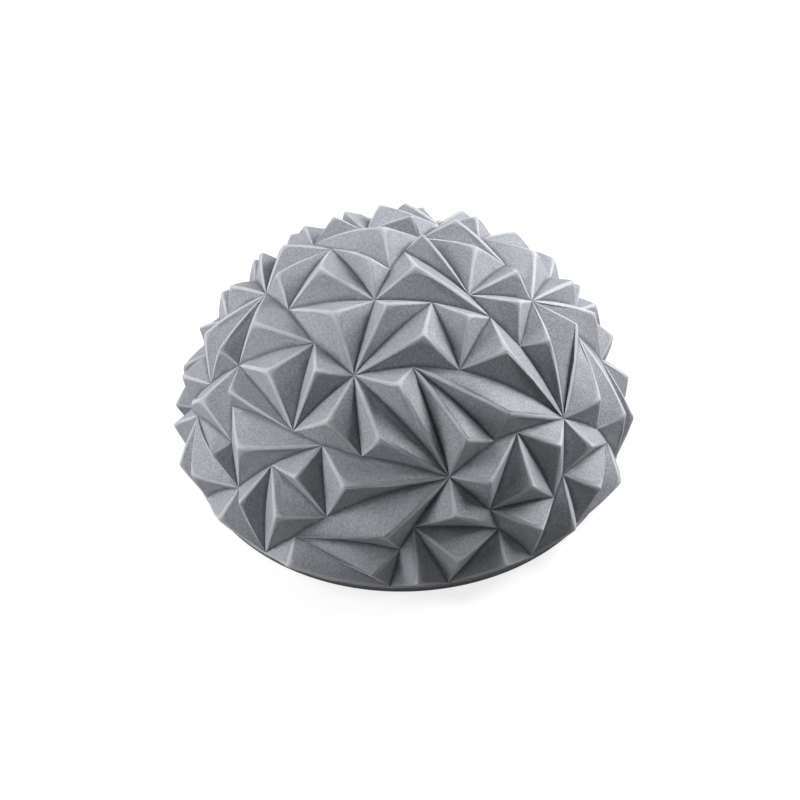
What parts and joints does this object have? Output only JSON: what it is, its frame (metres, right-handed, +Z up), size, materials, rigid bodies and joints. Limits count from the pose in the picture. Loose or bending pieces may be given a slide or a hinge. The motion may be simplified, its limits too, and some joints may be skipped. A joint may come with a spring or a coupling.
{
  "type": "half balance ball",
  "caption": "Hollow soft half ball with a flat base and a dome of raised three-sided pyramids, for foot massage and balance training, with an air valve underneath.",
  "frame": {"origin": "middle of the flat underside, on the plane that the part rests on", "axes": "+Z up through the crown, -Y towards the side that faces the viewer in the picture, +X to the right"},
  "size_m": [0.157, 0.1569, 0.0799],
  "materials": {
    "dome_vinyl": "matte, finely grained",
    "base_vinyl": "matte",
    "valve_vinyl": "matte",
    "plug_plastic": "satin"
  },
  "bodies": {
    "pod": {"dome_shell": "dome_vinyl", "base_pan": "base_vinyl", "valve_seat": "valve_vinyl"},
    "plug": {"valve_plug": "plug_plastic"}
  },
  "joints": [
    {"name": "plug_slide", "type": "slide", "parent": "pod", "child": "plug", "axis": [0, 0, -1], "range_m": [0, 0.018]}
  ]
}
